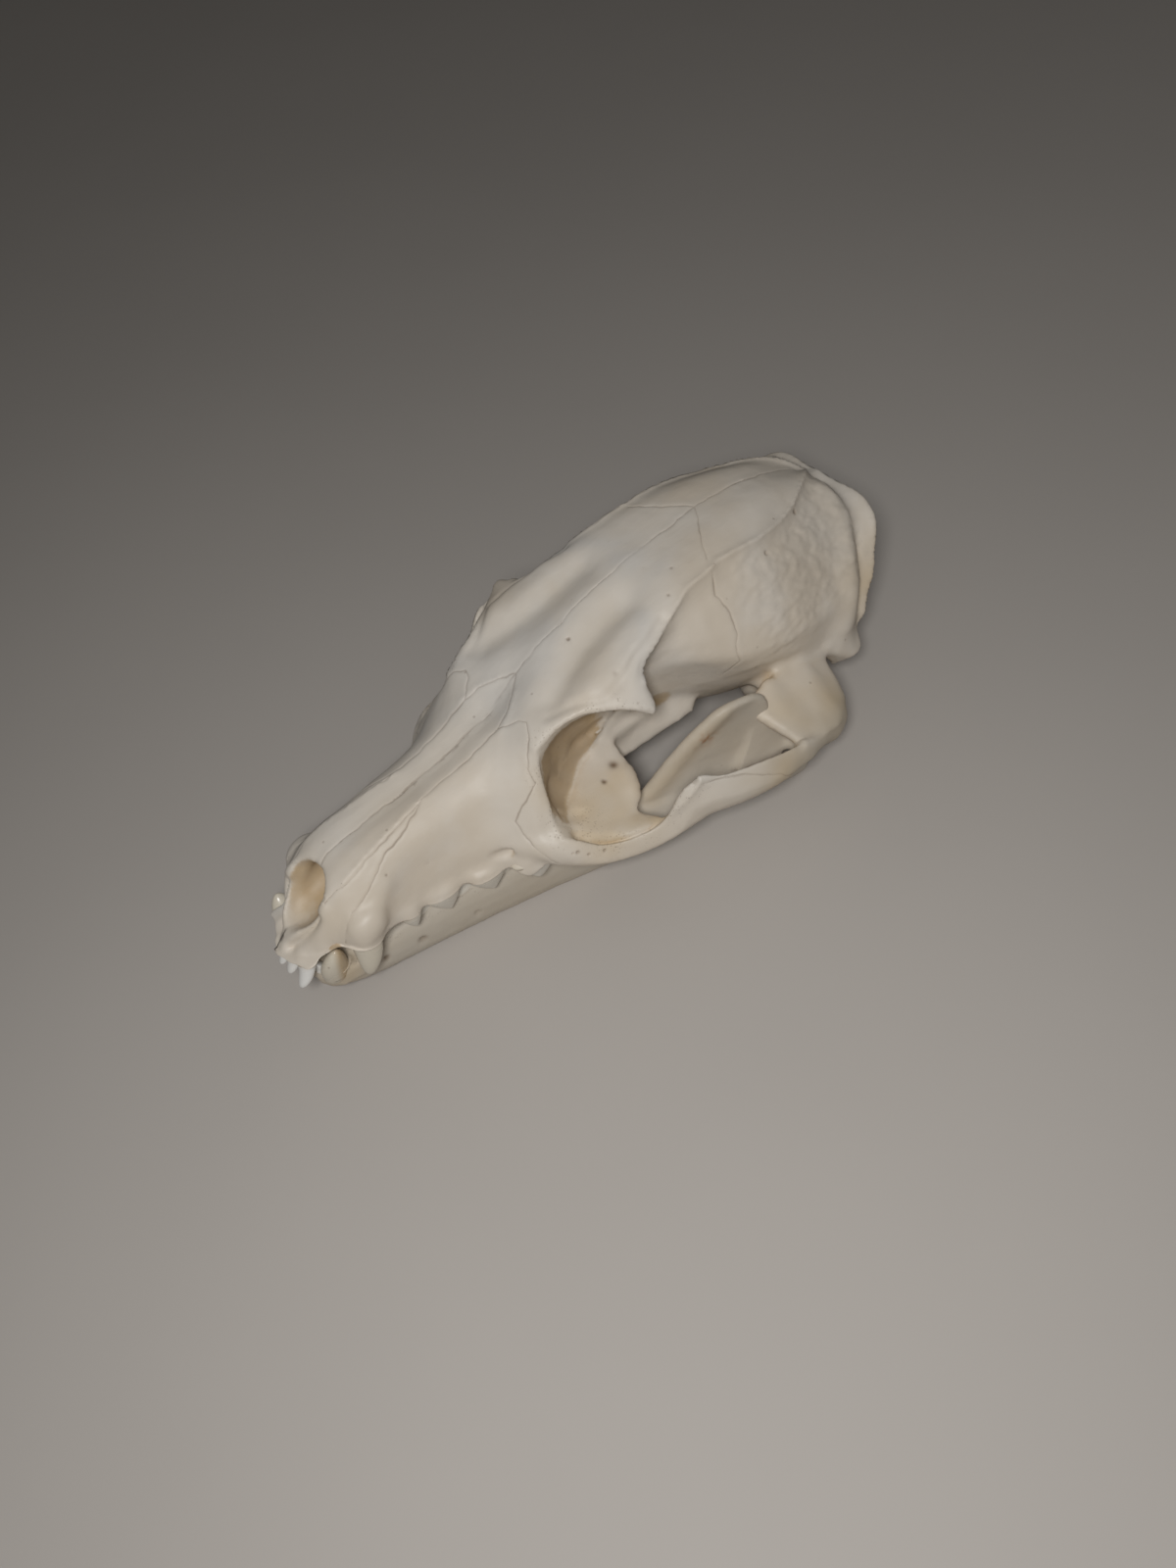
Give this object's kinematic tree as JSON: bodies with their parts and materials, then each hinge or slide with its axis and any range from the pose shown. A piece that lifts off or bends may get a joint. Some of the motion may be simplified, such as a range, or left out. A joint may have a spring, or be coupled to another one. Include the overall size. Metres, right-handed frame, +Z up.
{
  "type": "coyote skull",
  "caption": "Dry skull of a young coyote with the lower jaw closed under it, long narrow muzzle, open cheek arches and a rounded braincase with a low crest.",
  "frame": {"origin": "on the table, under the middle of the whole skull's box", "axes": "+Z up from the table, +Y toward the back of the head, so the nose points along -Y, and +X toward the animal's left"},
  "size_m": [0.0864, 0.156, 0.0577],
  "materials": {
    "bone": "dry ivory bone with a faint waxy sheen, yellow stains in the hollows",
    "jaw_bone": "dry ivory bone, a little whiter than the cranium",
    "enamel": "smooth tooth enamel with brown stain at the gums"
  },
  "bodies": {
    "root": {"muzzle": "bone", "forehead": "bone", "braincase": "bone", "cheek_arch_left": "bone", "cheek_arch_right": "bone", "mandible_left": "jaw_bone", "mandible_right": "jaw_bone"}
  },
  "joints": []
}
